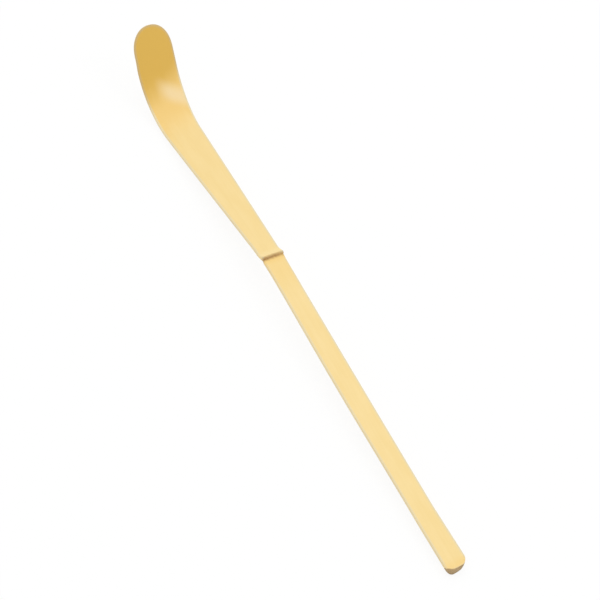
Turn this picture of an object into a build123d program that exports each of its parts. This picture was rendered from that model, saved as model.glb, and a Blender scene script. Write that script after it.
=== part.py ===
"""Bamboo tea scoop: one strip of cane, shaved to a taper, heat-bent at the tip, with a growth node mid-way.

The side view of the strip runs in straight lines and arcs. It is crossed with the outline, which is drawn
on a plane that leans between the handle and the tip, and the corners and front edges are eased. Then it is
crossed with a bar that follows the same line, which rounds its back down to thin sides and leaves a narrow
flat along the middle of the back. At last the node gets its raised rim and the groove at its foot. The
scoop lies on its back, so that the butt and the belly of the bend touch the table at z = 0. The tip points
along +X, and the origin is on the table, half-way from the butt to the tip.
"""
import os
from math import asin, atan2, cos, degrees, radians, sin, sqrt, tan

from build123d import *

# Straight runs of the front, from corner to corner (mm)
handle_length = 101.5
blade_length = 65.75
tip_length = 24.24

# How the blade drops from the line of the handle, and how the tip rises above it (degrees)
blade_drop = 10.26
tip_rise = 55.84

# Radii of the front at the two bends
node_bend_radius = 35.0
scoop_bend_radius = 17.2

# Thickness in the middle of the strip and of its sides, and what the flat along the back takes off its round
handle_thickness = 2.6
bend_thickness = 1.9
tip_thickness = 1.4
handle_side = 0.85
bend_side = 0.8
tip_side = 0.7
back_flat = 0.15

# Width of the strip
handle_width = 5.75
bend_width = 10.4
tip_width = 11.2

# Outline: lean of its plane, the butt's flare on one side, the shoulder that ends the blade's taper, and the
# round tip, with a short stretch of parallel sides between the shoulder's arc and the round
outline_lean = 20.0
flare = 0.5
flare_length = 14.0
flare_radius = 60.0
waist_radius = 120.0
shoulder_to_tip = 12.94
parallel_sides = 0.3
tip_round = 6.25

# Easing of the corners and of the front edges
butt_corner_left = 1.6
butt_corner_right = 1.8
front_easing = 0.35

# Node: the rim stands proud just past the groove that the leaf sheath left, and further out on the right
rim_height = 0.35
rim_left = 0.08
rim_right = 0.4
rim_length = 2.4
rim_reach = 1.1
rim_corner = 0.4
groove_width = 0.6
groove_depth = 0.22
groove_side = 0.18

# Extra length that a crossing cuts away, and how far the bar stands above the front
spare = 5.0
clear = 1.0

# Faces that look up by more than this share of straight up are the front's
front_share = 0.5


def direction(angle):
    """Unit vector at an angle in degrees above the line of the handle."""
    return Vector(cos(radians(angle)), sin(radians(angle)))


def normal(angle):
    """Unit vector square to a run at that angle, on the front side."""
    return direction(angle + 90)


def behind(point, angle, thickness):
    """Point of the back, square behind a point of the front on a run at that angle."""
    return point - normal(angle) * thickness


# Corners of the front in the side view, with the handle along the first axis and the front side up
butt_front = Vector(0, 0)
node_front = Vector(handle_length, 0)
bend_front = node_front + direction(-blade_drop) * blade_length
tip_front = bend_front + direction(tip_rise) * tip_length
end_front = tip_front + direction(tip_rise) * spare

# Ends and centre of each bend
bend_turn = blade_drop + tip_rise
node_cut = node_bend_radius * tan(radians(blade_drop) / 2)
bend_cut = scoop_bend_radius * tan(radians(bend_turn) / 2)
node_start = node_front - direction(0) * node_cut
node_end = node_front + direction(-blade_drop) * node_cut
node_centre = node_start - normal(0) * node_bend_radius
bend_start = bend_front - direction(-blade_drop) * bend_cut
bend_end = bend_front + direction(tip_rise) * bend_cut
bend_centre = bend_start + normal(-blade_drop) * scoop_bend_radius

# Tilt that lays the scoop on its back: the butt's back edge and the belly of the bend both touch the table
belly_radius = scoop_bend_radius + bend_thickness
across = bend_centre - behind(butt_front, 0, handle_thickness)
tilt = degrees(asin(belly_radius / across.length) - atan2(across.Y, across.X))


def lying(point):
    """Place along the table and height above it, as a vector, of a point of the side view."""
    return direction(tilt) * point.X + normal(tilt) * point.Y


def upright(angle):
    """Direction in the part's own frame of a run at that angle above the handle."""
    return Vector(cos(radians(angle + tilt)), 0, sin(radians(angle + tilt)))


# Planes of the side view and of the outline. The origin is half-way between the ends of the eased butt and
# of the tip's back, where the strip is a little thicker than at the tip's front.
thinning = (bend_thickness - tip_thickness) / (tip_length - bend_cut)
tip_turn = radians(tip_rise - outline_lean)
tip_back = tip_front - normal(outline_lean) * (tip_thickness / (cos(tip_turn) - thinning * sin(tip_turn)))
butt_edge = behind(butt_front, 0, front_easing)
half_way = (lying(butt_edge).X + lying(tip_back).X) / 2
start = Vector(-half_way, 0, belly_radius - lying(bend_centre).Y)
side_plane = Plane(origin=start, x_dir=upright(0), z_dir=(0, -1, 0))
outline_plane = Plane(origin=start, x_dir=upright(outline_lean), z_dir=upright(outline_lean + 90))


def cross_plane(point, angle):
    """Plane square to a run at that angle, with the front side up, at a point of the front."""
    return Plane(origin=side_plane.from_local_coords(point), x_dir=(0, 1, 0), z_dir=upright(angle))


def bend_axis(centre):
    """Axis of a bend, from the right side to the left."""
    return Axis(side_plane.from_local_coords(centre), (0, 1, 0))


def bar_section(point, angle, thickness, width, side, shift=0):
    """Cross-section of the bar: the round back of a strip with sides that thick, closed above the front."""
    depth = thickness + back_flat
    sag = depth - side
    radius = ((width / 2) ** 2 + sag**2) / (2 * sag)
    reach = sqrt(radius**2 - (clear + depth - radius) ** 2)
    arc = ThreePointArc((shift - reach, clear), (shift, -depth), (shift + reach, clear))
    return cross_plane(point, angle) * make_face([arc, Line(arc @ 0, arc @ 1)])


def run_line(handle_depth, bend_depth, tip_depth):
    """Line along the side view at those depths below the front."""
    node_arc = ThreePointArc(
        behind(node_start, 0, handle_depth),
        node_centre + normal(-blade_drop / 2) * (node_bend_radius - handle_depth),
        behind(node_end, -blade_drop, handle_depth),
    )
    bend_arc = ThreePointArc(
        behind(bend_start, -blade_drop, bend_depth),
        bend_centre - normal((tip_rise - blade_drop) / 2) * (scoop_bend_radius + bend_depth),
        behind(bend_end, tip_rise, bend_depth),
    )
    tip_point = behind(tip_front, tip_rise, tip_depth)
    return [
        Line(behind(butt_front, 0, handle_depth), node_arc @ 0),
        node_arc,
        Line(node_arc @ 1, bend_arc @ 0),
        bend_arc,
        Line(bend_arc @ 1, tip_point),
        Line(tip_point, behind(end_front, tip_rise, tip_depth)),
    ]


def along_outline(point):
    """Place along the outline plane of a point of the side view."""
    return point.dot(direction(outline_lean))


def rim_of(faces):
    """Edges that bound a set of faces, without those between two of them."""
    edges = faces.edges()
    return ShapeList(edge for edge in edges if edges.count(edge) == 1)


# Bar with the round back: handle with the butt's flare, node, blade, bend, tip and a little more
handle_sizes = (handle_thickness, handle_width, handle_side)
bend_sizes = (bend_thickness, bend_width, bend_side)
tip_sizes = (tip_thickness, tip_width, tip_side)
before_butt = butt_front - direction(0) * spare
handle_sections = [
    bar_section(before_butt, 0, handle_thickness, handle_width + flare, handle_side, -flare / 2),
    bar_section(node_start, 0, *handle_sizes),
]
blade_sections = [
    bar_section(node_end, -blade_drop, *handle_sizes),
    bar_section(bend_start, -blade_drop, *bend_sizes),
]
tip_sections = [
    bar_section(bend_end, tip_rise, *bend_sizes),
    bar_section(tip_front, tip_rise, *tip_sizes),
]
bar = loft(handle_sections, ruled=True)
bar += revolve(handle_sections[-1], bend_axis(node_centre), blade_drop)
bar += loft(blade_sections, ruled=True)
bar += revolve(blade_sections[-1], bend_axis(bend_centre), -bend_turn)
bar += loft(tip_sections, ruled=True)
bar += extrude(tip_sections[-1], amount=spare)

# Side view of the strip
front = run_line(0, 0, 0)
back = run_line(handle_thickness, bend_thickness, tip_thickness)
ends = [Line(front[0] @ 0, back[0] @ 0), Line(front[-1] @ 1, back[-1] @ 1)]
side_view = side_plane * make_face([*front, *back, *ends])

with BuildPart() as scoop:
    # Side view, across more than the full width
    extrude(side_view, amount=tip_width, both=True)

    # Outline, through the whole height
    with BuildSketch(outline_plane):
        butt_end = -spare
        flare_end = along_outline(Vector(flare_length, 0))
        node_at = along_outline(node_front)
        tip_end = along_outline(tip_front)
        shoulder_at = tip_end - shoulder_to_tip
        round_at = tip_end - tip_round
        flare_slope = flare / flare_end
        taper = atan2((tip_width - handle_width) / 2, shoulder_at - node_at)
        shoulder_radius = (shoulder_to_tip - tip_round - parallel_sides) / tan(taper / 2)
        with BuildLine():
            left = FilletPolyline(
                (butt_end, handle_width / 2),
                (node_at, handle_width / 2),
                (shoulder_at, tip_width / 2),
                (round_at, tip_width / 2),
                radius=[waist_radius, shoulder_radius],
            )
            right = FilletPolyline(
                (butt_end, -handle_width / 2 - flare_slope * (flare_end - butt_end)),
                (flare_end, -handle_width / 2),
                (node_at, -handle_width / 2),
                (shoulder_at, -tip_width / 2),
                (round_at, -tip_width / 2),
                radius=[flare_radius, waist_radius, shoulder_radius],
            )
            EllipticalCenterArc((round_at, 0), tip_round, tip_width / 2, start_angle=-90, arc_size=180)
            Line(left @ 0, right @ 0)
        make_face()
    extrude(amount=handle_length, both=True, mode=Mode.INTERSECT)

    # Corners of the butt, then all edges of the front
    butt_face = scoop.faces().sort_by(Axis.X)[0]
    butt_corners = butt_face.edges().filter_by(Axis.Y, reverse=True).sort_by(Axis.Y)
    fillet(butt_corners[0], radius=butt_corner_right)
    butt_face = scoop.faces().sort_by(Axis.X)[0]
    butt_corners = butt_face.edges().filter_by(Axis.Y, reverse=True).sort_by(Axis.Y)
    fillet(butt_corners[-1], radius=butt_corner_left)
    up = outline_plane.z_dir
    front_faces = scoop.faces().filter_by(lambda face: face.normal_at().dot(up) > front_share)
    fillet(rim_of(front_faces), radius=front_easing)

    # Round back
    add(bar, mode=Mode.INTERSECT)

    # Rim of the node, proud of the front and sides at its foot and flush with the blade at its end
    node_sag = node_bend_radius * (1 / cos(radians(blade_drop / 2)) - 1)
    node_plane = cross_plane(node_front - normal(-blade_drop / 2) * node_sag, -blade_drop / 2)
    with BuildSketch(node_plane):
        with Locations(((rim_left - rim_right) / 2, (rim_height - rim_reach) / 2)):
            RectangleRounded(handle_width + rim_left + rim_right, rim_height + rim_reach, rim_corner)
    extrude(amount=rim_length, taper=degrees(atan2(rim_height, rim_length)))

    # Groove at the foot of the rim, round the front and the upper sides
    with BuildSketch(node_plane):
        with Locations((0, (spare - rim_reach) / 2)):
            Rectangle(handle_width + spare, spare + rim_reach)
        with Locations((0, -groove_depth - spare / 2)):
            Rectangle(handle_width - 2 * groove_side, spare, mode=Mode.SUBTRACT)
    extrude(amount=-groove_width, mode=Mode.SUBTRACT)

scoop.part.label = "scoop"

os.makedirs("parts", exist_ok=True)
export_step(scoop.part, "parts/scoop.step")
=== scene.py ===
"""Bamboo tea scoop: one strip of cane, carved, eased and heat-bent, lying on a plain stage.

The strip starts as a flat blank with a round end. It is narrowed to its taper, thinned towards the tip and
to its sides, crowned like the wall of the cane it comes from, given its node, bent, and laid where the
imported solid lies.
"""
from math import copysign, cos, pi, radians, sin, sqrt, tan
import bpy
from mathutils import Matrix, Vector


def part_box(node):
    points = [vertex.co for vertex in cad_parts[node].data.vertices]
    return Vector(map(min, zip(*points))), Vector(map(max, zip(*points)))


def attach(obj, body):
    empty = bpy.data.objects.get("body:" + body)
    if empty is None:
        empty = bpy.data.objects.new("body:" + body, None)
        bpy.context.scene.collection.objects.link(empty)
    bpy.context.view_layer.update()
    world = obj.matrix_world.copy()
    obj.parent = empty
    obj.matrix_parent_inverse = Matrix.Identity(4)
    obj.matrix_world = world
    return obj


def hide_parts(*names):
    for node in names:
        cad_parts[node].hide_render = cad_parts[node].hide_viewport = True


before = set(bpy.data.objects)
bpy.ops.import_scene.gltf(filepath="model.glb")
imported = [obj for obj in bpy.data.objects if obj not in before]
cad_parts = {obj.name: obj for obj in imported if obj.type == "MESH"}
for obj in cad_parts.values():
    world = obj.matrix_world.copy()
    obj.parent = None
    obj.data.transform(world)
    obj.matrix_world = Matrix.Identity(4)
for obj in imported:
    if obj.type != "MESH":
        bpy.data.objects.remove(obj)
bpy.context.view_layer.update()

from types import SimpleNamespace

import bmesh
import bpy
from mathutils import Matrix, Vector

bl_info = {
    "name": "Bamboo Tea Scoop",
    "version": (1, 0, 0),
    "blender": (4, 5, 0),
    "location": "3D View > Sidebar > Tea Scoop",
    "description": "Carves a bamboo tea scoop and sets its stage",
    "category": "Object",
}

# One millimetre in metres: the strip is carved in millimetres and laid down in metres
MM = 0.001

# Bands at the blank's sides, front and back that keep their shape when it is narrowed and thinned
SIDE_BAND = 2.2
FRONT_BAND = 0.37
BACK_BAND = 0.22

# Lengths over which the bulge of the sawn end and the wavering of the handle's side fade
BUTT_REACH = 4.0
WAVER_FADE = 8.0

# Steepness of the paring towards the butt's right side and of the groove's walls
HEEL_STEEPNESS = 1.5
GROOVE_STEEPNESS = 3.0

# Power by which the node's rim fades
RIM_FADE = 1.6

# Waves of the wandering ring, across the strip: radians to the millimetre, start and strength
RING_WAVES = ((1.9, 0.6, 1.0), (4.3, 2.0, 0.5))

# Steps of the round end, of the butt's corners and of the eased rims
ROUND_STEPS = 56
CORNER_STEPS = 8
RIM_STEPS = 4

# Points that are closer than this are one place, in millimetres
SNAP = 0.0005

# How much of a level face's normal points straight up or down
LEVEL = 0.9

# Cuts through the blank: shares of its half width, depths, lengths from the butt, shares of the round end
CUTS_ACROSS = (0.0, 0.2, 0.4, 0.59, 0.72, 0.82, 0.9)
CUTS_DOWN = (0.8, 1.3, 1.8)
CUTS_AT_BUTT = (0.5, 0.8, 1.2, 1.6, 2.0)
CUTS_AT_TIP = (0.35, 0.6, 0.78, 0.88)

# Stops along the blank, from the butt, the node and the bend, and the pieces from each stop to the next
BUTT_STOPS = (2.5, 18.0)
NODE_STOPS = (-4.0, -1.4, 3.0, 8.0)
BEND_STOP = -14.0
PIECES = (31, 80, 14, 44, 20, 60, 72)


def number(name, description, default, **kind):
    """A plain number, with its limits, subtype or unit."""
    return bpy.props.FloatProperty(name=name, description=description, default=default, **kind)


def length(name, description, default):
    """A size, written in millimetres and kept in metres."""
    return number(name, description, default * MM, min=0.0, precision=5, unit="LENGTH")


def angle(name, description, default):
    """An angle, written in degrees."""
    return number(name, description, radians(default), subtype="ANGLE")


def colour(name, description, *levels):
    """A colour, written in sRGB from 0 to 255 and kept as linear light."""
    linear = [((level / 255 + 0.055) / 1.055) ** 2.4 for level in levels]
    return bpy.props.FloatVectorProperty(
        name=name, description=description, default=(*linear, 1.0), size=4, min=0.0, max=1.0,
        subtype="COLOR",
    )


class StripSizes(bpy.types.PropertyGroup):
    """Sizes of the strip, measured on its front."""

    handle_length: length("Handle length", "From the butt to the corner at the node", 101.6)
    blade_length: length("Blade length", "From the corner at the node to the corner of the bend", 65.75)
    tip_length: length("Tip length", "From the corner of the bend to the end", 23.97)
    blade_drop: angle("Blade drop", "How far the blade falls from the line of the handle", 10.26)
    tip_rise: angle("Tip rise", "How far the tip rises above the line of the handle", 55.84)
    lie: angle("Lie", "How far the handle rises from the table when the scoop lies on its back", 3.3727)
    node_bend: length("Node bend", "Radius of the bend at the node", 35.0)
    scoop_bend: length("Scoop bend", "Radius of the heat-bent scoop", 17.2)
    cane_radius: length("Cane radius", "Radius of the cane whose wall the strip is", 60.0)
    handle_thickness: length("Handle thickness", "Thickness in the middle of the handle", 2.6)
    bend_thickness: length("Bend thickness", "Thickness in the middle of the bend", 1.9)
    tip_thickness: length("Tip thickness", "Thickness in the middle of the tip", 1.4)
    handle_side: length("Handle side", "Thickness of the handle's sides", 0.85)
    bend_side: length("Bend side", "Thickness of the bend's sides", 0.8)
    tip_side: length("Tip side", "Thickness of the tip's sides", 0.7)
    back_flat: length("Back flat", "What the flat along the back takes off its round", 0.15)
    handle_width: length("Handle width", "Width from the butt to the node", 5.75)
    tip_width: length("Tip width", "Width of the scoop", 11.18)
    outline_lean: angle("Outline lean", "Angle above the handle from which the outline was drawn", 20.0)
    flare: length("Butt flare", "Extra width of the butt on the right", 0.5)
    draw: length("Butt draw", "How far the left side draws in at the butt", 0.22)
    flare_length: length("Flare length", "How far the flare and draw reach from the butt", 14.0)
    flare_blend: length("Flare blend", "Half the length over which the flare fades", 1.2)
    waist_blend: length("Waist blend", "Half the length over which the taper begins", 2.6)
    shoulder: length("Shoulder", "From the end of the taper to the tip, along the outline", 12.94)
    parallel_sides: length("Parallel sides", "Between the shoulder's arc and the round tip", 0.3)
    tip_round: length("Tip round", "Length of the round tip along the outline", 6.25)
    belly: length("Belly", "How far each side of the blade stands out past a straight taper", 0.09)
    tip_draw: length("Tip draw", "How far the left side draws in along the tip", 0.2)
    bluntness: number("Bluntness", "Power of the curve of the round tip, 2 for an ellipse", 2.2, min=2.0)
    bow: length("Bow", "How far the ends of the handle lie to the right of its middle", 0.1)
    waver: length("Waver", "How far the left side of the handle wavers from a straight line", 0.1)
    waver_length: length("Waver length", "From one waist of the wavering side to the next", 78.0)
    waver_crest: length("Waver crest", "From the butt to where the wavering side stands out most", 58.0)
    butt_bulge: length("Butt bulge", "How far the middle of the sawn end stands out past its sides", 0.45)
    butt_skew: length("Butt skew", "How far the sawn end slants, longer on the left", 0.25)
    heel: length("Heel", "What is pared off the back at the butt, growing to the right", 1.6)
    heel_side: length("Heel side", "What is pared off the right side at the butt", 0.25)
    heel_length: length("Heel length", "How far the paring reaches from the butt", 4.0)
    left_corner: length("Left butt corner", "Radius of the butt's left corner", 1.6)
    right_corner: length("Right butt corner", "Radius of the butt's right corner", 2.6)
    front_easing: length("Front easing", "Radius of the eased front edges", 0.35)
    back_easing: length("Back easing", "Radius of the eased back edges", 0.18)


class NodeSizes(bpy.types.PropertyGroup):
    """Sizes of the growth ring that crosses the strip."""

    rim_height: length("Rim height", "How far the rim stands above the front", 0.34)
    rim_left: length("Rim left", "How far the left side stands out past the ring", 0.1)
    rim_right: length("Rim right", "How far the rim stands out from the right side", 0.48)
    swell: length("Swell", "How far the right side swells below the rim", 0.13)
    swell_length: length("Swell length", "How far below the rim the swelling reaches", 3.4)
    rim_length: length("Rim length", "Over which the rim fades into the blade", 2.4)
    rim_crest: length("Rim crest", "Over which the rim rises out of the groove", 0.25)
    reach: length("Reach", "How far down the sides the rim and groove go", 1.1)
    groove_width: length("Groove width", "Width of the sheath scar", 0.6)
    groove_depth: length("Groove depth", "Depth of the sheath scar in the front", 0.22)
    notch: length("Notch", "How far the left side draws in at the ring", 0.33)
    notch_length: length("Notch length", "How far the notch reaches to either side of the ring", 1.1)
    shift: length("Shift", "How far past the middle of the node's bend the ring lies", 0.2)
    wander: length("Wander", "How far the ring strays from a straight line", 0.08)


class BambooColours(bpy.types.PropertyGroup):
    """Colours of the cane."""

    skin: colour("Skin", "Smooth front of the handle and blade", 241, 213, 147)
    streak: colour("Streak", "Faint fibre streaks and clouds in the skin", 237, 207, 136)
    # Tanned bend: heat toning, and partly painted shade where the bend turns away from the light and its
    # sheen
    tanned: colour("Tanned bend", "Skin that the bending heat has tanned", 236, 198, 115)
    # Pale patch: a painted highlight on the bend, where the small window softbox reflects
    pale: colour("Pale patch", "Patch of the bend that the heat has spared", 240, 214, 162)
    # Toned tip: heat toning, and partly painted shade of a tip that turns away from the light and its
    # sheen
    toned: colour("Toned tip", "Skin that the bending heat has toned most", 219, 176, 74)
    flesh: colour("Flesh", "Cut wood of the back and sides", 234, 211, 156)
    bundle: colour("Fibre bundle", "Dark fibre bundles in the cut wood", 196, 160, 100)
    # Sheath scar: the scar's own colour, and partly painted shade in the groove and on the rim's foot
    scar: colour("Sheath scar", "Groove at the foot of the node's rim", 160, 117, 62)
    rim: colour("Node rim", "Pale rim of the node", 243, 218, 156)
    warm: colour("Warm band", "Handle just below the node and before the butt's end", 238, 199, 113)
    # End grain: its own darker colour, and partly painted shade of a sawn end that faces away from the
    # light
    butt: colour("End grain", "Sawn end of the butt", 176, 147, 102)
    stain: colour("Stain", "Dark bundles and darkened parts of the sawn end", 118, 98, 68)
    # Worn edge and toned edge: painted shade of eased edges that turn away from the light; the toned edge
    # also colours the tip's flesh
    worn: colour("Worn edge", "Eased edges, dulled by handling", 229, 211, 166)
    toned_edge: colour("Toned edge", "Eased edges of the toned tip", 206, 175, 112)


class StageSettings(bpy.types.PropertyGroup):
    """Floor, light and camera."""

    floor: colour("Floor", "Plain pale floor", 250, 250, 250)
    daylight: number("Daylight", "Strength of the even light from all round", 0.82, min=0.0)
    key: number("Key", "Radiance of the large softbox overhead", 0.85, min=0.0)
    window: number("Window", "Radiance of the small softbox beside the camera", 3.5, min=0.0)
    shade: number("Shade", "Share of the shadow that the floor shows", 0.1, subtype="FACTOR")
    distance: length("Camera distance", "From the camera to the point it looks at", 700.0)
    azimuth: angle("Camera azimuth", "Direction of the camera, from +X towards +Y", 151.86)
    elevation: angle("Camera elevation", "Height of the camera above the table", 50.1)
    roll: angle("Camera roll", "Turn of the camera about its own line of sight", 2.78)
    lens: number("Lens", "Focal length on a 36 mm sensor", 165.78, unit="CAMERA")


def millimetres(group):
    """The group's values, with its sizes in millimetres."""
    kinds = group.bl_rna.properties
    scale = {name: MM if kinds[name].unit == "LENGTH" else 1.0 for name in group.__annotations__}
    return SimpleNamespace(**{name: getattr(group, name) / by for name, by in scale.items()})


def smooth(x):
    """Eased step from 0 to 1 as x goes from 0 to 1."""
    x = min(max(x, 0.0), 1.0)
    return x * x * (3 - 2 * x)


class Strip:
    """The carved strip: where each point of the flat blank comes to lie. All sizes are in millimetres."""

    def __init__(self, sizes, node):
        self.sizes = sizes
        self.node = node
        node_cut = sizes.node_bend * tan(sizes.blade_drop / 2)
        bend_turn = sizes.blade_drop + sizes.tip_rise
        bend_cut = sizes.scoop_bend * tan(bend_turn / 2)
        # Lengths and turns of the handle, the node, the blade, the bend and the tip
        self.runs = [
            (sizes.handle_length - node_cut, 0.0),
            (sizes.node_bend * sizes.blade_drop, -sizes.blade_drop),
            (sizes.blade_length - node_cut - bend_cut, 0.0),
            (sizes.scoop_bend * bend_turn, bend_turn),
            (sizes.tip_length - bend_cut, 0.0),
        ]
        handle, node_arc, blade, bend_arc, tip = (run for run, turn in self.runs)
        self.node_at = handle + node_arc / 2 + node.shift
        self.node_end = handle + node_arc
        self.bend_start = self.node_end + blade
        self.bend_end = self.bend_start + bend_arc
        self.bend_at = (self.bend_start + self.bend_end) / 2
        self.length = self.bend_end + tip
        tip_lean = sizes.tip_rise - sizes.outline_lean
        self.back_slant = tan(tip_lean)
        self.round_length = sizes.tip_round / cos(tip_lean)
        self.half = sizes.tip_width / 2
        self.node_reach = sizes.handle_length * cos(sizes.outline_lean)
        self.shoulder_reach = self.reach(self.length) - sizes.shoulder
        self.shoulder_blend = sizes.shoulder - sizes.tip_round - sizes.parallel_sides
        widening = (sizes.tip_width - sizes.handle_width) / 2
        self.taper = widening / (self.shoulder_reach - self.node_reach)
        self.flare_reach = sizes.flare_length * cos(sizes.outline_lean)

    def place(self, along):
        """Place of a point of the front in the side view, and its slope there."""
        x = z = slope = 0.0
        for run, turn in self.runs:
            step = min(along, run)
            along -= step
            if turn:
                radius = run / turn
                ahead = slope + step / radius
                x += radius * (sin(ahead) - sin(slope))
                z -= radius * (cos(ahead) - cos(slope))
                slope = ahead
            else:
                x += step * cos(slope)
                z += step * sin(slope)
        return x, z, slope

    def reach(self, along):
        """How far a point of the front is from the butt in the view that the outline was drawn in."""
        x, z, slope = self.place(along)
        lean = self.sizes.outline_lean
        return x * cos(lean) + z * sin(lean)

    def half_width(self, along, side):
        """Half the width of the strip on the left, for a side of 1, or on the right, for -1."""
        sizes = self.sizes
        reach = self.reach(along)

        def corner(at, blend):
            """Rise past a rounded corner, for a change of slope of 1."""
            past = reach - at
            if past < -blend:
                return 0.0
            return past if past > blend else (past + blend) ** 2 / (4 * blend)

        half = sizes.handle_width / 2 + self.taper * corner(self.node_reach, sizes.waist_blend)
        half -= self.taper * corner(self.shoulder_reach, self.shoulder_blend)
        flared = self.flare_reach - reach + corner(self.flare_reach, sizes.flare_blend)
        half += flared / self.flare_reach * (sizes.flare if side < 0 else -sizes.draw)
        if side > 0:
            wave = cos(2 * pi * (along - sizes.waver_crest) / sizes.waver_length)
            half += sizes.waver * wave * smooth((self.node_at - along) / WAVER_FADE)
        share = (reach - self.node_reach) / (self.shoulder_reach - self.node_reach)
        half += 4 * sizes.belly * max(0.0, share * (1 - share))
        drawn = smooth((along - self.bend_end) / (self.length - self.round_length - self.bend_end))
        return min(half, self.half) - (sizes.tip_draw * drawn if side > 0 else 0.0)

    def between(self, along, handle, bend, tip):
        """A size that is steady in the handle and the bend, and changes evenly along the blade and tip."""
        if along < self.bend_start:
            share = max(0.0, (along - self.node_end) / (self.bend_start - self.node_end))
            return handle + share * (bend - handle)
        share = max(0.0, (along - self.bend_end) / (self.length - self.bend_end))
        return bend + share * (tip - bend)

    def thickness(self, along, across, half):
        """Thickness of the strip: flat behind in the middle, round to the sides and pared at the butt."""
        sizes = self.sizes
        middle = self.between(along, sizes.handle_thickness, sizes.bend_thickness, sizes.tip_thickness)
        side = self.between(along, sizes.handle_side, sizes.bend_side, sizes.tip_side)
        sag = middle + sizes.back_flat - side
        radius = (half**2 + sag**2) / (2 * sag)
        whole = min(middle, side + sag - radius + sqrt(radius**2 - across**2))
        share = 1 - smooth(along / sizes.heel_length)
        pared = sizes.heel * (1 - across / half) / 2 * share
        thin = sizes.heel_side * smooth(-HEEL_STEEPNESS * across / half) * share
        return side - thin + (whole - side) * (1 - pared / (middle - side))

    def narrowed(self, y, half):
        """Place across the strip: the sides keep their shape and the middle of the blank narrows."""
        middle = self.half - SIDE_BAND
        if abs(y) < middle:
            return y * (half - SIDE_BAND) / middle
        return copysign(abs(y) - self.half + half, y)

    def thinned(self, depth, thickness):
        """Depth below the front: the front and back keep their easing and the blank's middle thins."""
        full = self.sizes.handle_thickness
        if depth <= FRONT_BAND:
            return depth
        if depth >= full - BACK_BAND:
            return thickness - full + depth
        middle = (thickness - FRONT_BAND - BACK_BAND) / (full - FRONT_BAND - BACK_BAND)
        return FRONT_BAND + (depth - FRONT_BAND) * middle

    def past_node(self, along, across):
        """Distance past the ring, which wanders a little across the strip."""
        stray = sum(strength * sin(pace * across + start) for pace, start, strength in RING_WAVES)
        return along - self.node_at - self.node.wander * stray

    def relief(self, past):
        """Height of the node's relief at a distance past the ring: the groove, then the rim."""
        node = self.node
        if past < -node.groove_width:
            return 0.0
        if past < 0:
            share = (past + node.groove_width) / node.groove_width
            return -node.groove_depth * smooth(min(share, 1 - share) * GROOVE_STEEPNESS)
        fade = max(0.0, 1 - past / node.rim_length)
        return node.rim_height * fade**RIM_FADE * smooth(past / node.rim_crest)

    def swelling(self, past):
        """How far the right side stands out past the ring, and before it in a swelling up to the rim."""
        node = self.node
        if past > 0:
            return node.rim_right * max(0.0, 1 - past / node.rim_length) ** RIM_FADE
        rise = smooth(1 + past / node.groove_width)
        return node.swell * smooth(1 + past / node.swell_length) + (node.rim_right - node.swell) * rise

    def notching(self, past):
        """How far the left side stands out past the ring, less the notch at the ring."""
        node = self.node
        rise = past / node.rim_length
        out = node.rim_left * smooth(rise) * smooth(2 - rise)
        return out - node.notch * smooth(1 - abs(past) / node.notch_length)

    def blunted(self, along, y):
        """Place across the blank once its round end, which starts as half an ellipse, is made blunter."""
        ahead = (along - self.length) / self.round_length + 1
        if not 0 < ahead < 1 - SNAP:
            return y
        power = self.sizes.bluntness
        return y * (1 - ahead**power) ** (1 / power) / sqrt(1 - ahead**2)

    def crown(self, across):
        """How far the front has fallen from its middle, as the wall of the cane does."""
        radius = self.sizes.cane_radius
        return radius - sqrt(radius**2 - across**2)

    def sawn(self, along, share):
        """How far a point near the sawn end is moved along, at a share of the half width."""
        end = (self.sizes.butt_bulge * share - self.sizes.butt_skew) * share
        return end * smooth(1 - along / BUTT_REACH)

    def bevel(self, along):
        """How far the tip's end slants back for its depth, growing up to the round end."""
        return self.back_slant * smooth((along - self.length) / self.round_length + 2)

    def bow(self, along, past):
        """How far the handle lies to the right of a straight line."""
        ends = (2 * along / self.node_at - 1) ** 2
        return self.sizes.bow * ends * smooth(1 - past / self.node.rim_length)

    def edge_distance(self, along, y):
        """Distance of a point of the blank from its outline."""
        ahead = along - self.length + self.round_length
        side = self.half - abs(y)
        if ahead > 0:
            radius = sqrt((ahead / self.round_length) ** 2 + (y / self.half) ** 2)
            side = (1 - radius) * self.half
        return min(side, along)

    def carved(self, point):
        """Place of a point of the blank in the side view, and along, across and below the front."""
        along, y, z = point
        side = 1 if y >= 0 else -1
        half = self.half_width(along, side)
        across = self.narrowed(self.blunted(along, y), half)
        thickness = self.thickness(along, across, half)
        depth = self.thinned(-z, thickness)
        past = self.past_node(along, across)
        fade = 1 - smooth(depth / self.node.reach)
        height = self.relief(past) * fade - self.crown(across) * (1 - depth / thickness) - depth
        inside = half - abs(across)
        if side > 0:
            fade = 1 - smooth(depth / self.sizes.handle_thickness)
            spread = self.notching(past) * smooth(1 - inside / SIDE_BAND) * fade
        else:
            spread = -self.swelling(past) * smooth(1 - inside / self.sizes.front_easing) * fade
        shift = self.sawn(along, across / half) - depth * self.bevel(along)
        x, rise, slope = self.place(along + shift)
        beside = across + spread - self.bow(along, past)
        place = Vector((x - height * sin(slope), beside, rise + height * cos(slope)))
        return place, Vector((along, across, depth))


def cut(bm, axis, place):
    """Cuts the whole blank square to an axis, 0 along, 1 across or 2 down."""
    normal = Vector((0, 0, 0))
    normal[axis] = 1
    geometry = bm.verts[:] + bm.edges[:] + bm.faces[:]
    bmesh.ops.bisect_plane(bm, geom=geometry, dist=SNAP, plane_co=normal * place, plane_no=normal)


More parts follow.
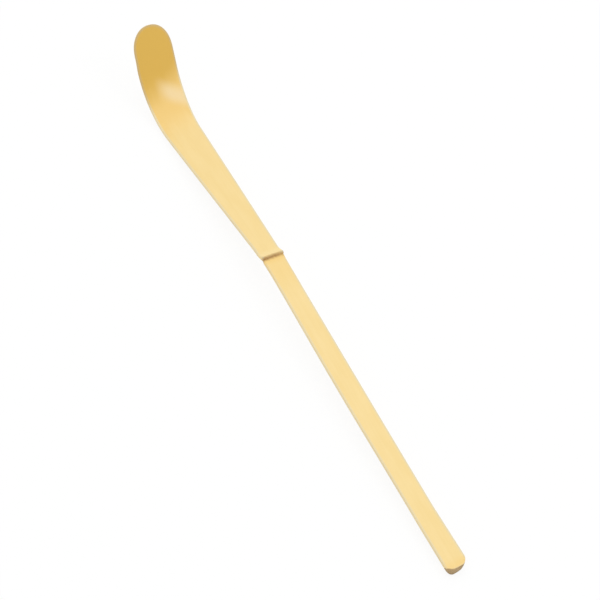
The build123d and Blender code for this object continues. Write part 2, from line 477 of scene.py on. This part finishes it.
def divide(bm, start, end, pieces):
    """Divides the edges that run along the blank from start to end into equal pieces."""

    def spans(edge):
        """Whether an edge runs from start to end."""
        ends = sorted(vert.co.x for vert in edge.verts)
        return abs(ends[0] - start) < 2 * SNAP and abs(ends[1] - end) < 2 * SNAP

    edges = [edge for edge in bm.edges if spans(edge)]
    bmesh.ops.subdivide_edges(bm, edges=edges, cuts=pieces - 1, use_grid_fill=True)


def flat_face(bm, up):
    """The largest face that looks up, for up of 1, or down, for -1."""
    level = (face for face in bm.faces if face.normal.z * up > LEVEL)
    return max(level, key=lambda face: face.calc_area())


def make_blank(bm, strip):
    """Flat slab of cane with a round end, rounded butt corners and eased rims; its front is at z = 0."""
    sizes = strip.sizes
    first = bm.verts.new((0, -strip.half, 0))
    turned = bmesh.ops.spin(
        bm, geom=[first], cent=(0, 0, 0), axis=(0, 0, 1), angle=pi, steps=ROUND_STEPS, use_merge=False
    )
    last = next(item for item in turned["geom_last"] if isinstance(item, bmesh.types.BMVert))
    stretch = (strip.round_length / strip.half, 1, 1)
    bmesh.ops.scale(bm, vec=stretch, verts=bm.verts[:])
    sides = strip.length - strip.round_length
    bmesh.ops.translate(bm, vec=(sides, 0, 0), verts=bm.verts[:])
    butt = bmesh.ops.extrude_vert_indiv(bm, verts=[first, last])["verts"]
    bmesh.ops.translate(bm, vec=(-sides, 0, 0), verts=butt)
    bmesh.ops.contextual_create(bm, geom=butt)
    for vert in butt:
        corner = sizes.left_corner if vert.co.y > 0 else sizes.right_corner
        bmesh.ops.bevel(
            bm, geom=[vert], offset=corner, offset_type="OFFSET", segments=CORNER_STEPS, profile=0.5,
            affect="VERTICES", material=-1,
        )
    face = bmesh.ops.edgeloop_fill(bm, edges=bm.edges[:])["faces"][0]
    back = bmesh.ops.extrude_face_region(bm, geom=[face], use_keep_orig=True)["geom"]
    back = [item for item in back if isinstance(item, bmesh.types.BMVert)]
    bmesh.ops.translate(bm, vec=(0, 0, -sizes.handle_thickness), verts=back)
    bmesh.ops.recalc_face_normals(bm, faces=bm.faces[:])
    for up, easing in ((1, sizes.front_easing), (-1, sizes.back_easing)):
        bmesh.ops.bevel(
            bm, geom=flat_face(bm, up).edges[:], offset=easing, offset_type="OFFSET", segments=RIM_STEPS,
            profile=0.5, affect="EDGES", material=-1,
        )


def cut_blank(bm, strip):
    """Cuts the blank into narrow faces, closest at the node and the ends, so that it can be bent."""
    for share in CUTS_ACROSS:
        for side in (1, -1) if share else (1,):
            cut(bm, 1, side * share * strip.half)
    for depth in CUTS_DOWN:
        cut(bm, 2, -depth)
    for along in CUTS_AT_BUTT:
        cut(bm, 0, along)
    for share in CUTS_AT_TIP:
        cut(bm, 0, strip.length - (1 - share) * strip.round_length)
    stops = [*BUTT_STOPS, *(strip.node_at + stop for stop in NODE_STOPS)]
    stops += [strip.bend_at + BEND_STOP, strip.length - strip.round_length]
    for along in stops:
        cut(bm, 0, along)
    for start, end, count in zip(stops, stops[1:], PIECES):
        divide(bm, start, end, count)
    wide = [face for face in bm.faces if len(face.verts) > 4]
    bmesh.ops.triangulate(bm, faces=wide, quad_method="BEAUTY", ngon_method="BEAUTY")


def carve_blank(bm, strip):
    """Moves the blank's points to the carved strip, and keeps their places and distances from the edge."""
    place_layer = bm.verts.layers.float_vector.new("strip")
    edge_layer = bm.verts.layers.float.new("edge")
    for vert in bm.verts:
        vert[edge_layer] = max(strip.edge_distance(vert.co.x, vert.co.y), -vert.co.z)
        vert.co, vert[place_layer] = strip.carved(vert.co)


def lay_down(bm, strip):
    """Turns the strip to lie on its back, in metres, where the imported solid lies."""
    turn = Matrix.Rotation(-strip.sizes.lie, 4, "Y")
    bmesh.ops.transform(bm, matrix=Matrix.Scale(MM, 4) @ turn, verts=bm.verts[:])
    solid_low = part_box("scoop")[0]
    shift = Vector((
        solid_low.x - min(vert.co.x for vert in bm.verts),
        0,
        solid_low.z - min(vert.co.z for vert in bm.verts),
    ))
    bmesh.ops.translate(bm, vec=shift, verts=bm.verts[:])


class Value:
    """A socket of a node tree; an expression on values adds its Math nodes."""

    def __init__(self, finish, socket):
        self.finish = finish
        self.socket = socket

    def math(self, operation, *inputs, clamp=False):
        """Adds a Math node."""
        settings = {"operation": operation, "use_clamp": clamp}
        return self.finish.node("ShaderNodeMath", settings, dict(enumerate(inputs)))

    def __add__(self, other):
        return self.math("ADD", self, other)

    def __sub__(self, other):
        return self.math("SUBTRACT", self, other)

    def __mul__(self, other):
        return self.math("MULTIPLY", self, other)

    def __rsub__(self, other):
        return self.math("SUBTRACT", other, self)

    __radd__ = __add__
    __rmul__ = __mul__

    def sibling(self, name):
        """Another output of the same node."""
        return Value(self.finish, self.socket.node.outputs[name])


# Sockets of a Mix node that are for colours, whose names other sockets share
MIX_FACTOR = 0
MIX_FIRST = 6
MIX_SECOND = 7
MIX_RESULT = 2


class Finish:
    """A node tree, and the one way in which nodes are added to it."""

    def __init__(self, tree):
        self.tree = tree
        tree.nodes.clear()

    def node(self, kind, settings, sockets, output=0):
        """Adds a node: its settings first, then the values or links of its sockets."""
        node = self.tree.nodes.new(kind)
        for name, setting in settings.items():
            setattr(node, name, setting)
        for name, value in sockets.items():
            if isinstance(value, Value):
                self.tree.links.new(value.socket, node.inputs[name])
            else:
                node.inputs[name].default_value = value
        return Value(self, node.outputs[output]) if len(node.outputs) else None

    def attribute(self, name, output):
        """An attribute of the mesh."""
        return self.node("ShaderNodeAttribute", {"attribute_name": name}, {}, output)

    def step(self, value, start, end, strength=1.0):
        """Eased step from 0 where the value is start to a strength where it is end, above or below."""
        sockets = {"Value": value, "From Min": start, "From Max": end, "To Max": strength}
        if start > end:
            sockets.update({"From Min": end, "From Max": start, "To Min": strength, "To Max": 0.0})
        return self.node("ShaderNodeMapRange", {"interpolation_type": "SMOOTHSTEP"}, sockets)

    def noise(self, place, scale, detail):
        """Noise around a half, with its own scale along, across and down the strip."""
        vector = self.node("ShaderNodeVectorMath", {"operation": "MULTIPLY"}, {0: place, 1: scale})
        sockets = {"Vector": vector, "Scale": 1.0, "Detail": detail}
        return self.node("ShaderNodeTexNoise", {}, sockets, "Fac")

    def mix(self, factor, first, second):
        """A colour between two."""
        settings = {"data_type": "RGBA", "blend_type": "MIX"}
        sockets = {MIX_FACTOR: factor, MIX_FIRST: first, MIX_SECOND: second}
        return self.node("ShaderNodeMix", settings, sockets, MIX_RESULT)


# Noises of the cane: scale along, across and down the strip, and detail
STREAKS = ((0.018, 1.5, 1.5), 4.0)
MOTTLE = ((0.09, 0.35, 0.35), 2.0)
FIBRE = ((0.05, 9.0, 9.0), 2.0)
BUNDLES = ((0.02, 3.6, 3.6), 1.0)
STRAY = ((0.0, 1.6, 0.0), 1.0)

# Marks of the cane: each starts at its first value, is full at its second, and may have a strength as its
# third. The values are of a noise, or millimetres along, across or below the front.

# Skin: clouds of streaks and mottle, and cut wood below it
STREAK_SHARE = 0.4
CLOUDS = (0.35, 0.65, 0.6)
CUT_WOOD = (0.3, 0.55)

# Heat toning and painted shade, from the middle of the bend: tanned and toned skin that is partly painted
# shade, a painted highlight patch, and how much lower each is to the left
BEND_RAGGED = 4.0
TANNED_AND_SHADED = (-12.0, -1.0)
TANNED_AND_SHADED_SLANT = 0.25
TONED_AND_SHADED = (0.0, 9.0)
TONED_AND_SHADED_SLANT = 0.55
HIGHLIGHT_FROM = (-0.6, 3.3, 0.85)
HIGHLIGHT_TO = (8.2, 3.8)
HIGHLIGHT_SIDE = (2.6, -1.8)
HIGHLIGHT_SLANT = -0.6

# Cut wood and edges: how much the heat toning and painted shade darken the flesh, its fibre bundles, and
# the painted shade of the eased edges
FLESH_TONED_AND_SHADED = 0.6
BUNDLE = (0.56, 0.74)
BUNDLE_DEPTH = (2.8, 0.3)
EDGE_SHADE = (0.7, 0.3)

# Node, from its ring: warm before it, a pale rim past it, and an uneven scar with painted shade of its
# groove, fainter on the right
RING_RAGGED = 0.3
WARM_FAR = (-14.0, -4.0, 0.3)
WARM_NEAR = (-3.2, -0.4, 0.6)
WARM_TO = (0.1, -0.2)
RIM_FROM = (0.3, 0.6, 0.8)
RIM_TO = (2.8, 1.0)
SCAR_SHADE_FROM = (-1.5, -0.3)
SCAR_SHADE_TO = (0.55, -0.3)
SCAR_SHADE_DEPTH = (1.3, 0.7)
SCAR_SHADE_STRENGTH = 1.25
SCAR_SHADE_UNEVEN = 0.7
SCAR_SHADE_RIGHT = (0.6, -2.8, 0.2)

# Butt: warm before the end, stained end grain that is partly painted shade of the sawn end, and where that
# grain reaches further from the end
BUTT_WARM = (3.5, 0.8, 0.4)
STAIN_BUNDLES = (0.5, 0.65, 0.3)
STAIN_BACK = (0.6, 2.4, 0.6)
STAIN_RIGHT = (0.2, -2.0, 0.35)
SAWN = (0.45, 0.2)
SAWN_BELOW = (0.1, 0.5, 0.7)
SAWN_LEFT = (0.6, 2.6, 0.65)

# Gloss and relief: roughness of the skin, of its mottle and of cut wood, and the fine relief of the fibre
SKIN_ROUGHNESS = 0.36
MOTTLE_ROUGHNESS = 0.08
CUT_ROUGHNESS = (0.3, 0.6, 0.16)
FIBRE_STRENGTH = 0.08
FIBRE_HEIGHT = 0.1 * MM


class Cane(Finish):
    """Finish of bamboo: its skin, the cut wood behind it, and its marks by their places on the strip."""

    def __init__(self, tree, colours, strip):
        super().__init__(tree)
        named = {name: tuple(getattr(colours, name)) for name in colours.__annotations__}
        self.colours = SimpleNamespace(**named)
        place = self.attribute("strip", "Vector")
        self.edge = self.attribute("edge", "Fac")
        self.along = self.node("ShaderNodeSeparateXYZ", {}, {0: place}, "X")
        self.across = self.along.sibling("Y")
        self.depth = self.along.sibling("Z")
        self.streaks = self.noise(place, *STREAKS)
        self.mottle = self.noise(place, *MOTTLE)
        self.fibre = self.noise(place, *FIBRE)
        self.bundles = self.noise(place, *BUNDLES)
        self.stray = self.noise(place, *STRAY)
        self.past_node = self.along - strip.node_at - self.ragged(self.stray, RING_RAGGED)
        self.past_bend = self.along - strip.bend_at
        # Tanned bend and toned tip: heat toning, and partly painted shade where the strip turns away from
        # the light
        past_bend_ragged = self.past_bend + self.ragged(self.mottle, BEND_RAGGED)
        self.tanned = self.step(past_bend_ragged + self.across * TANNED_AND_SHADED_SLANT, *TANNED_AND_SHADED)
        self.toned = self.step(past_bend_ragged + self.across * TONED_AND_SHADED_SLANT, *TONED_AND_SHADED)

    def ragged(self, noise, width):
        """A distance that strays with a noise, over a width."""
        return (noise - 0.5) * width

    def skin(self):
        """Front of the strip: clouded, tanned and toned with partly painted shade, and a painted highlight
        patch on the bend.
        """
        cloud = self.streaks * STREAK_SHARE + self.mottle * (1 - STREAK_SHARE)
        skin = self.mix(self.step(cloud, *CLOUDS), self.colours.skin, self.colours.streak)
        skin = self.mix(self.tanned, skin, self.colours.tanned)
        skin = self.mix(self.toned, skin, self.colours.toned)
        slanted = self.past_bend + self.across * HIGHLIGHT_SLANT
        # Painted highlight: a pale patch on the right of the bend
        highlight_patch = self.step(slanted, *HIGHLIGHT_FROM) * self.step(slanted, *HIGHLIGHT_TO)
        return self.mix(highlight_patch * self.step(self.across, *HIGHLIGHT_SIDE), skin, self.colours.pale)

    def wood(self):
        """The skin, the cut wood below it with its fibre bundles, and painted shade on the eased edges."""
        # Flesh of the tip: heat toning and painted shade, in the toned edge colour
        flesh = self.mix(self.toned * FLESH_TONED_AND_SHADED, self.colours.flesh, self.colours.toned_edge)
        bundle = self.step(self.bundles, *BUNDLE) * self.step(self.depth, *BUNDLE_DEPTH)
        cut_wood = self.mix(bundle, flesh, self.colours.bundle)
        wood = self.mix(self.step(self.depth, *CUT_WOOD), self.skin(), cut_wood)
        # Painted shade on the eased edges, darker on the tip
        edge_shade = self.mix(self.toned, self.colours.worn, self.colours.toned_edge)
        return self.mix(self.step(self.edge, *EDGE_SHADE), wood, edge_shade)

    def with_node(self, wood):
        """The wood with its node: warm below the ring, a pale rim past it and a scar in the groove, partly
        painted shade.
        """
        past = self.past_node
        warm = self.step(past, *WARM_FAR) + self.step(past, *WARM_NEAR)
        wood = self.mix(warm * self.step(past, *WARM_TO), wood, self.colours.warm)
        rim = self.step(past, *RIM_FROM) * self.step(past, *RIM_TO)
        wood = self.mix(rim, wood, self.colours.rim)
        # Scar colour, partly painted shade in the groove and on the rim's foot
        scar = self.step(past, *SCAR_SHADE_FROM) * self.step(past, *SCAR_SHADE_TO) * self.step(self.depth, *SCAR_SHADE_DEPTH)
        strength = SCAR_SHADE_STRENGTH - self.stray * SCAR_SHADE_UNEVEN - self.step(self.across, *SCAR_SHADE_RIGHT)
        return self.mix(scar * strength, wood, self.colours.scar)

    def with_butt(self, wood):
        """The wood with its sawn end, partly painted shade, whose grain reaches further below the front
        and on the left.
        """
        wood = self.mix(self.step(self.along, *BUTT_WARM), wood, self.colours.warm)
        stain = self.step(self.bundles, *STAIN_BUNDLES) + self.step(self.depth, *STAIN_BACK)
        stain = stain + self.step(self.across, *STAIN_RIGHT)
        # End grain colour, partly painted shade of the sawn end
        grain_and_shade = self.mix(stain, self.colours.butt, self.colours.stain)
        from_end = self.along - self.step(self.depth, *SAWN_BELOW) - self.step(self.across, *SAWN_LEFT)
        return self.mix(self.step(from_end, *SAWN), wood, grain_and_shade)


def bamboo(colours, strip):
    """The one material of the scoop."""
    material = bpy.data.materials.new("bamboo")
    material.use_nodes = True
    cane = Cane(material.node_tree, colours, strip)
    wood = cane.with_butt(cane.with_node(cane.wood()))
    rough = SKIN_ROUGHNESS + cane.mottle * MOTTLE_ROUGHNESS + cane.step(cane.depth, *CUT_ROUGHNESS)
    relief = {"Strength": FIBRE_STRENGTH, "Distance": FIBRE_HEIGHT, "Height": cane.fibre}
    bump = cane.node("ShaderNodeBump", {}, relief)
    surface = {"Base Color": wood, "Roughness": rough, "Normal": bump}
    shader = cane.node("ShaderNodeBsdfPrincipled", {}, surface)
    cane.node("ShaderNodeOutputMaterial", {}, {"Surface": shader})
    return material


class TEASCOOP_OT_carve(bpy.types.Operator):
    """Carves the scoop from one strip of cane and gives it its finish"""

    bl_idname = "teascoop.carve"
    bl_label = "Carve Scoop"

    def execute(self, context):
        scene = context.scene
        strip = Strip(millimetres(scene.scoop_strip), millimetres(scene.scoop_node))
        bm = bmesh.new()
        make_blank(bm, strip)
        cut_blank(bm, strip)
        carve_blank(bm, strip)
        lay_down(bm, strip)
        bmesh.ops.recalc_face_normals(bm, faces=bm.faces[:])
        for face in bm.faces:
            face.smooth = True
        mesh = bpy.data.meshes.new("tea_scoop")
        bm.to_mesh(mesh)
        bm.free()
        mesh.materials.append(bamboo(scene.scoop_colours, strip))
        scoop = bpy.data.objects.new("tea_scoop", mesh)
        scene.collection.objects.link(scoop)
        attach(scoop, "root")
        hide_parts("scoop")
        return {"FINISHED"}


# Floor: half its side, in metres
FLOOR_HALF = 3.0

# Softboxes: their distance and sides in metres, and the directions they stand in
SOFTBOX_DISTANCE = 1.2
KEY_SIDE = 1.2
KEY_FROM = (0.25, -0.1, 0.96)
WINDOW_SIDE = 0.3
WINDOW_FROM = (-0.52, -0.42, 0.74)

# Camera: width of its sensor, and the point it looks at, both in millimetres
SENSOR = 36.0
LOOK_AT = (-2.02, -1.4, 5.05)

WHITE = (1, 1, 1, 1)


def add_softbox(scene, name, direction, side, radiance):
    """Square softbox that faces the scoop from a direction, with its light given as radiance."""
    light = bpy.data.lights.new(name, "AREA")
    light.shape = "SQUARE"
    light.size = side
    light.energy = radiance * pi * side**2
    box = bpy.data.objects.new(name, light)
    aim = Vector(direction).normalized()
    box.location = aim * SOFTBOX_DISTANCE
    box.rotation_euler = aim.to_track_quat("Z", "Y").to_euler()
    scene.collection.objects.link(box)


def seen(finish):
    """1 for a ray that shows what it meets, straight, in gloss or through glass, 0 for one that lights."""
    camera = finish.node("ShaderNodeLightPath", {}, {}, "Is Camera Ray")
    glossy = camera + camera.sibling("Is Glossy Ray")
    return glossy.math("ADD", glossy, camera.sibling("Is Transmission Ray"), clamp=True)


class TEASCOOP_OT_stage(bpy.types.Operator):
    """Sets the floor, the soft light and the camera"""

    bl_idname = "teascoop.stage"
    bl_label = "Set Stage"

    def execute(self, context):
        scene = context.scene
        stage = scene.scoop_stage
        self.add_floor(scene, stage)
        self.add_light(scene, stage)
        self.add_camera(scene, stage)
        scene.view_settings.view_transform = "Standard"
        return {"FINISHED"}

    def add_floor(self, scene, stage):
        """Floor that shows white, with a share of its shadow."""
        bm = bmesh.new()
        bmesh.ops.create_grid(bm, x_segments=1, y_segments=1, size=FLOOR_HALF)
        mesh = bpy.data.meshes.new("floor")
        bm.to_mesh(mesh)
        bm.free()
        material = bpy.data.materials.new("floor")
        material.use_nodes = True
        finish = Finish(material.node_tree)
        paint = finish.node("ShaderNodeBsdfDiffuse", {}, {"Color": tuple(stage.floor)})
        glow = finish.node("ShaderNodeEmission", {}, {"Color": WHITE, "Strength": 1.0})
        white = seen(finish) * (1 - stage.shade)
        shader = finish.node("ShaderNodeMixShader", {}, {0: white, 1: paint, 2: glow})
        finish.node("ShaderNodeOutputMaterial", {}, {"Surface": shader})
        mesh.materials.append(material)
        floor = bpy.data.objects.new("floor", mesh)
        scene.collection.objects.link(floor)

    def add_light(self, scene, stage):
        """White background that lights evenly from all round, and two softboxes."""
        world = bpy.data.worlds.new("studio")
        world.use_nodes = True
        scene.world = world
        finish = Finish(world.node_tree)
        strength = seen(finish) * (1 - stage.daylight) + stage.daylight
        light = finish.node("ShaderNodeBackground", {}, {"Color": WHITE, "Strength": strength})
        finish.node("ShaderNodeOutputWorld", {}, {"Surface": light})
        add_softbox(scene, "key", KEY_FROM, KEY_SIDE, stage.key)
        add_softbox(scene, "window", WINDOW_FROM, WINDOW_SIDE, stage.window)

    def add_camera(self, scene, stage):
        """Camera that looks at the scoop from its direction and distance, with its roll."""
        data = bpy.data.cameras.new("camera")
        data.sensor_width = SENSOR
        data.sensor_fit = "HORIZONTAL"
        data.lens = stage.lens
        camera = bpy.data.objects.new("camera", data)
        level = cos(stage.elevation)
        back = Vector((level * cos(stage.azimuth), level * sin(stage.azimuth), sin(stage.elevation)))
        right = Vector((0, 0, 1)).cross(back).normalized()
        up = back.cross(right)
        turned_right = right * cos(stage.roll) + up * sin(stage.roll)
        turned_up = up * cos(stage.roll) - right * sin(stage.roll)
        axes = Matrix((turned_right, turned_up, back)).transposed()
        place = Vector(LOOK_AT) * MM + back * stage.distance
        camera.matrix_world = Matrix.Translation(place) @ axes.to_4x4()
        scene.collection.objects.link(camera)
        scene.camera = camera


class TEASCOOP_PT_sidebar(bpy.types.Panel):
    """Lists the scoop's sizes, colours and operators"""

    bl_idname = "TEASCOOP_PT_sidebar"
    bl_label = "Tea Scoop"
    bl_space_type = "VIEW_3D"
    bl_region_type = "UI"
    bl_category = "Tea Scoop"

    def draw(self, context):
        scene = context.scene
        for operator in (TEASCOOP_OT_carve, TEASCOOP_OT_stage):
            self.layout.operator(operator.bl_idname)
        for group in (scene.scoop_strip, scene.scoop_node, scene.scoop_colours, scene.scoop_stage):
            box = self.layout.box()
            for name in group.__annotations__:
                box.prop(group, name)


GROUPS = {
    "scoop_strip": StripSizes,
    "scoop_node": NodeSizes,
    "scoop_colours": BambooColours,
    "scoop_stage": StageSettings,
}
CLASSES = (*GROUPS.values(), TEASCOOP_OT_carve, TEASCOOP_OT_stage, TEASCOOP_PT_sidebar)


def register():
    """Adds the classes, and their groups of settings to every scene."""
    for cls in CLASSES:
        bpy.utils.register_class(cls)
    for name, group in GROUPS.items():
        setattr(bpy.types.Scene, name, bpy.props.PointerProperty(type=group))


def unregister():
    """Takes the groups and classes away again."""
    for name in GROUPS:
        delattr(bpy.types.Scene, name)
    for cls in reversed(CLASSES):
        bpy.utils.unregister_class(cls)


def main():
    """Makes the scoop and its stage."""
    register()
    bpy.ops.teascoop.carve()
    bpy.ops.teascoop.stage()


if __name__ == "__main__":
    main()
